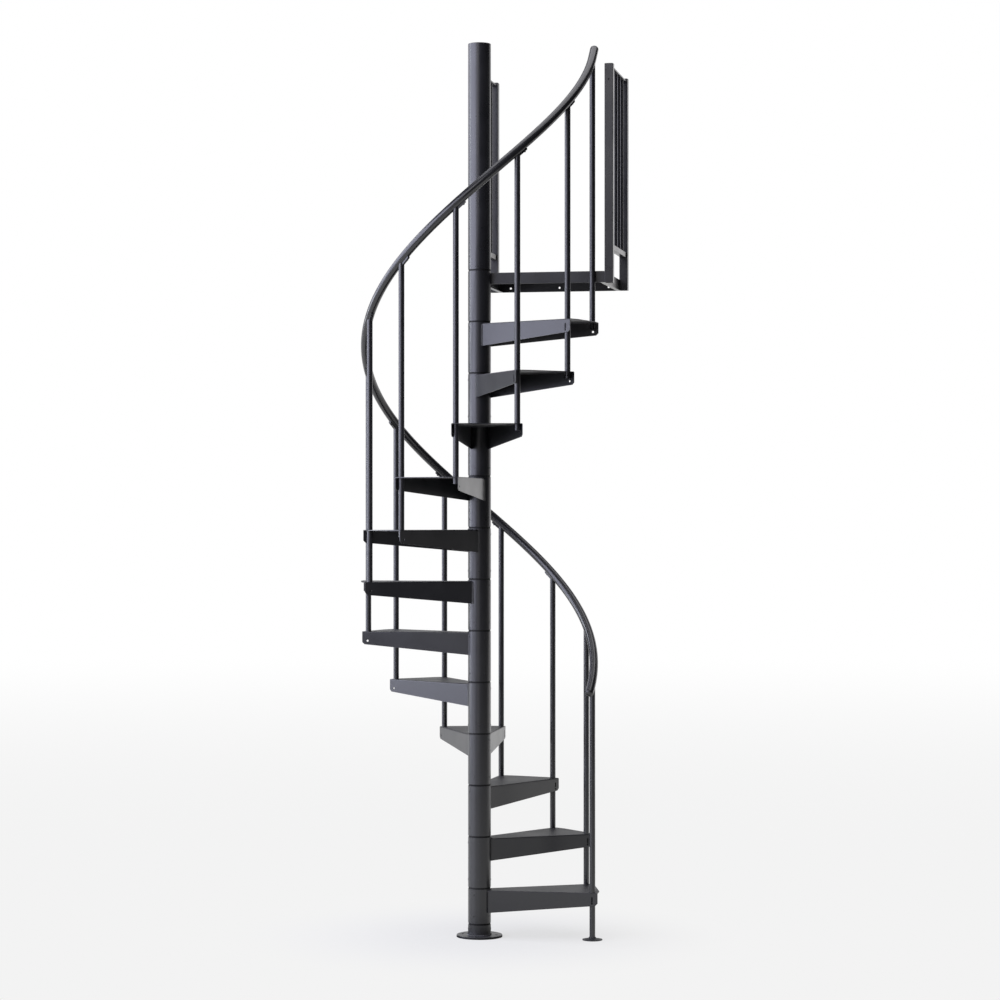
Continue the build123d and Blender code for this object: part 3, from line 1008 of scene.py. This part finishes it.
@dataclass(frozen=True)
class PhotoCamera:
    """The photograph's camera: level, turned about the column, with its picture's centre shifted."""

    distance: float = 12.0769
    height: float = 1.8996
    azimuth: float = radians(11.442)
    lens_pixels: float = 2715.1
    picture_pixels: float = 1000.0
    column_pixel: float = 479.5
    horizon_pixel: float = 509.3
    sensor: float = 36.0
    clip_end: float = 200.0

    def build(self) -> None:
        """Makes the camera and sets it as the scene's.

        Each shift is the share of the picture from its middle to the column or the horizon.
        """
        middle_share = 0.5
        data = bpy.data.cameras.new("photo_camera")
        data.sensor_width = self.sensor
        data.lens = self.lens_pixels * self.sensor / self.picture_pixels
        data.shift_x = middle_share - self.column_pixel / self.picture_pixels
        data.shift_y = self.horizon_pixel / self.picture_pixels - middle_share
        data.clip_end = self.clip_end
        camera = bpy.data.objects.new("photo_camera", data)
        right = self.distance * sin(self.azimuth)
        front = self.distance * cos(self.azimuth)
        camera.location = (right, -front, self.height)
        camera.rotation_euler = (pi / 2, 0.0, self.azimuth)
        bpy.context.scene.collection.objects.link(camera)
        bpy.context.scene.camera = camera


@dataclass(frozen=True)
class AreaLamp:
    """A soft rectangular lamp that looks at a point, given by its radiance."""

    name: str
    place: tuple[float, float, float]
    target: tuple[float, float, float]
    size: tuple[float, float]
    radiance: float
    colour: Colour

    def build(self) -> None:
        """Makes the lamp, with the power that its radiance and area give."""
        width, height = self.size
        data = bpy.data.lights.new(self.name, "AREA")
        data.shape = "RECTANGLE"
        data.size = width
        data.size_y = height
        data.energy = self.radiance * pi * width * height
        data.color = self.colour
        lamp = bpy.data.objects.new(self.name, data)
        lamp.location = self.place
        look = np.array(self.target) - np.array(self.place)
        yaw = atan2(look[1], look[0]) - pi / 2
        pitch = atan2(look[2], hypot(look[0], look[1])) + pi / 2
        lamp.rotation_euler = (pitch, 0.0, yaw)
        lamp.visible_camera = False
        bpy.context.scene.collection.objects.link(lamp)


def wall_lamp(
    name: str, bearings: tuple[float, float], heights: tuple[float, float], radiance: float, colour: Colour
) -> AreaLamp:
    """An upright lamp on a wall round the stair, which looks level at the column.

    Args:
        name: the lamp's name.
        bearings: degrees to the camera's left where the lamp starts and ends, below zero to its right.
        heights: its lower and upper edge.
        radiance: its brightness.
        colour: its colour.

    Returns:
        The lamp, whose width is 2 * wall distance * tan(half of the angle that it fills).
    """
    wall_distance = 7.0
    near, far = (radians(bearing) for bearing in bearings)
    angle = PhotoCamera.azimuth - pi / 2 - (near + far) / 2
    low, high = heights
    middle = (low + high) / 2
    place = (wall_distance * cos(angle), wall_distance * sin(angle), middle)
    size = (2 * wall_distance * tan((far - near) / 2), high - low)
    return AreaLamp(name, place, (0.0, 0.0, middle), size, radiance, colour)


@dataclass(frozen=True)
class Studio:
    """Plain pale floor, white backdrop behind the stair, a dim room round them, and soft lamps."""

    camera: PhotoCamera
    floor_radius: float = 70.0
    floor_rings: int = 40
    floor_spokes: int = 96
    floor_colour: Colour = (0.80, 0.80, 0.80)
    floor_white: float = 0.896
    white_start: float = 3.0
    white_end: float = 24.0
    shadow_start: float = 0.20
    shadow_end: float = 1.15
    shadow_light: float = 0.72
    # Painted shadow round the column's foot, seen in reflections and bounced light
    painted_shadow_start: float = 0.10
    painted_shadow_end: float = 0.60
    painted_shadow_dark: float = 0.03
    bounce_share: float = 0.06
    paper_reach: float = 4.4
    paper_end: float = 8.0
    beyond_paper: float = 0.06
    room: Colour = (0.024, 0.0235, 0.028)
    backdrop_edge: tuple[float, float] = (0.72, 1.0)
    paper_edge: tuple[float, float] = (0.02, 0.45)
    backdrop_diffuse: float = 0.2
    lamps: tuple[AreaLamp, ...] = (
        wall_lamp("window_lamp", (35, 80), (1.55, 7.5), 4.6, (0.80, 0.81, 1.0)),
        wall_lamp("low_left_lamp", (45, 80), (0.05, 0.5), 5.0, (0.90, 0.91, 1.0)),
        wall_lamp("side_lamp", (80, 104), (0.4, 7.5), 4.1, (0.79, 0.815, 1.0)),
        wall_lamp("strip_lamp", (106, 117), (0.6, 7.5), 6.8, (0.88, 0.92, 1.0)),
        wall_lamp("rear_lamp", (120, 150), (4.2, 7.5), 1.35, (0.85, 0.82, 1.0)),
        wall_lamp("front_lamp", (8, 32), (4.0, 7.5), 1.9, (0.97, 0.95, 1.0)),
        wall_lamp("low_front_lamp", (2, 26), (0.2, 2.6), 0.9, (1.0, 0.97, 0.99)),
        wall_lamp("right_lamp", (-155, -118), (0.2, 5.8), 0.8, (1.0, 0.98, 1.0)),
        wall_lamp("low_right_lamp", (-118, -84), (0.05, 1.0), 0.7, (1.0, 0.98, 1.0)),
        AreaLamp("ceiling_lamp", (0.0, 0.5, 9.0), (0.0, 0.5, 0.0), (8.0, 8.0), 2.0, (0.97, 0.96, 1.0)),
    )

    def backdrop_direction(self) -> tuple[float, float, float]:
        """The level direction from the camera to the column."""
        return (-sin(self.camera.azimuth), cos(self.camera.azimuth), 0.0)

    def floor(self) -> None:
        """Lays a round floor: rings about the column, whose radii grow with their number's square."""
        radii = self.floor_radius * np.linspace(0, 1, self.floor_rings) ** 2
        angles = ring_angles(self.floor_spokes)
        points = radii[:, None, None] * around(angles)[None, :, :]
        piece = surface_piece("floor", points[None], Closing.ACROSS)
        piece.data.materials.append(self.floor_material())

    def floor_material(self) -> Material:
        """White paper under and behind the stair: to the camera it bears the stair's cast shadow near its
        foot, and gloss and soft light see a painted shadow round the column's foot.

        To the camera it is pale all over and fades to the backdrop's white far off. Gloss and soft
        light see the paper as far as it reaches in front, and the dim floor of the room beyond it.

        Returns:
            The floor's material.
        """
        made = bpy.data.materials.new("studio_floor")
        made.cycles.emission_sampling = "NONE"
        made.use_nodes = True
        made.node_tree.nodes.clear()
        sheet = NodeSheet(made.node_tree)
        place = sheet.node("ShaderNodeTexCoord").outputs["Object"]
        away = sheet.node("ShaderNodeVectorMath", {0: place}, operation="LENGTH").outputs["Value"]
        rays = sheet.node("ShaderNodeLightPath").outputs
        camera = rays["Is Camera Ray"]
        white = sheet.ramp(away, self.white_start, self.white_end, self.floor_white, 1.0)
        facing = sheet.math("DIVIDE", sheet.dot(place, self.backdrop_direction()), away)
        behind = sheet.ramp(facing, *self.paper_edge)
        near = sheet.ramp(away, self.paper_reach, self.paper_end, 1.0, 0.0)
        paper = sheet.math("MAXIMUM", behind, near)
        level = sheet.math("MAXIMUM", paper, self.beyond_paper)
        # Painted shadow: the floor darkens towards the column's foot for gloss and soft light
        painted_shadow = sheet.ramp(away, self.painted_shadow_start, self.painted_shadow_end, self.painted_shadow_dark, 1.0)
        level = sheet.math("MULTIPLY", level, painted_shadow)
        bounce = sheet.ramp(rays["Is Diffuse Ray"], 0.0, 1.0, 1.0, self.bounce_share)
        level = sheet.math("MAXIMUM", sheet.math("MULTIPLY", level, bounce), camera)
        mirrored = sheet.math("MAXIMUM", rays["Is Glossy Ray"], rays["Is Transmission Ray"])
        clear = sheet.ramp(away, self.shadow_start, self.shadow_end, self.shadow_light, 1.0)
        unshaded = sheet.math("MULTIPLY", camera, clear)
        share = sheet.math("MAXIMUM", unshaded, mirrored)
        tone = sheet.mix(level, opaque(BLACK), opaque(self.floor_colour))
        matt = sheet.node("ShaderNodeBsdfDiffuse", {"Color": tone})
        white = sheet.math("MAXIMUM", white, mirrored)
        glow = sheet.node("ShaderNodeEmission", {"Strength": sheet.math("MULTIPLY", white, level)})
        mixed = sheet.node("ShaderNodeMixShader", {0: share, 1: matt.outputs[0], 2: glow.outputs[0]})
        sheet.node("ShaderNodeOutputMaterial", {"Surface": mixed.outputs[0]})
        return made

    def world(self) -> None:
        """White for the camera, a white backdrop behind the stair for gloss, a dim room for the rest.

        The backdrop's share is a smooth step of the cosine of the angle from its middle.
        """
        world = bpy.data.worlds.new("studio_room")
        world.cycles.sampling_method = "NONE"
        world.use_nodes = True
        world.node_tree.nodes.clear()
        sheet = NodeSheet(world.node_tree)
        direction = sheet.node("ShaderNodeTexCoord").outputs["Generated"]
        behind = sheet.ramp(sheet.dot(direction, self.backdrop_direction()), *self.backdrop_edge)
        rays = sheet.node("ShaderNodeLightPath").outputs
        gloss = sheet.math("MAXIMUM", rays["Is Glossy Ray"], rays["Is Transmission Ray"])
        gloss = sheet.math("MAXIMUM", gloss, self.backdrop_diffuse)
        share = sheet.math("MAXIMUM", rays["Is Camera Ray"], sheet.math("MULTIPLY", behind, gloss))
        colour = sheet.mix(share, opaque(self.room), opaque(WHITE))
        light = sheet.node("ShaderNodeBackground", {"Color": colour, "Strength": 1.0})
        sheet.node("ShaderNodeOutputWorld", {"Surface": light.outputs[0]})
        bpy.context.scene.world = world

    def build(self) -> None:
        """Sets the stage: floor, world, lamps and the plain view transform."""
        self.floor()
        self.world()
        for lamp in self.lamps:
            lamp.build()
        bpy.context.scene.view_settings.view_transform = "Standard"


def main() -> None:
    """Builds the stair's looks and its studio in order."""
    logging.basicConfig(level=logging.INFO, format="%(name)s: %(message)s")
    plan = StairPlan.from_frame()
    shop = PaintShop(EffectShelf())
    for assembly in (Column, Treads, Balustrade, Landing):
        assembly(plan, shop).build()
        LOG.info("%s dressed", assembly.__name__)
    camera = PhotoCamera()
    camera.build()
    Studio(camera).build()


if __name__ == "__main__":
    main()
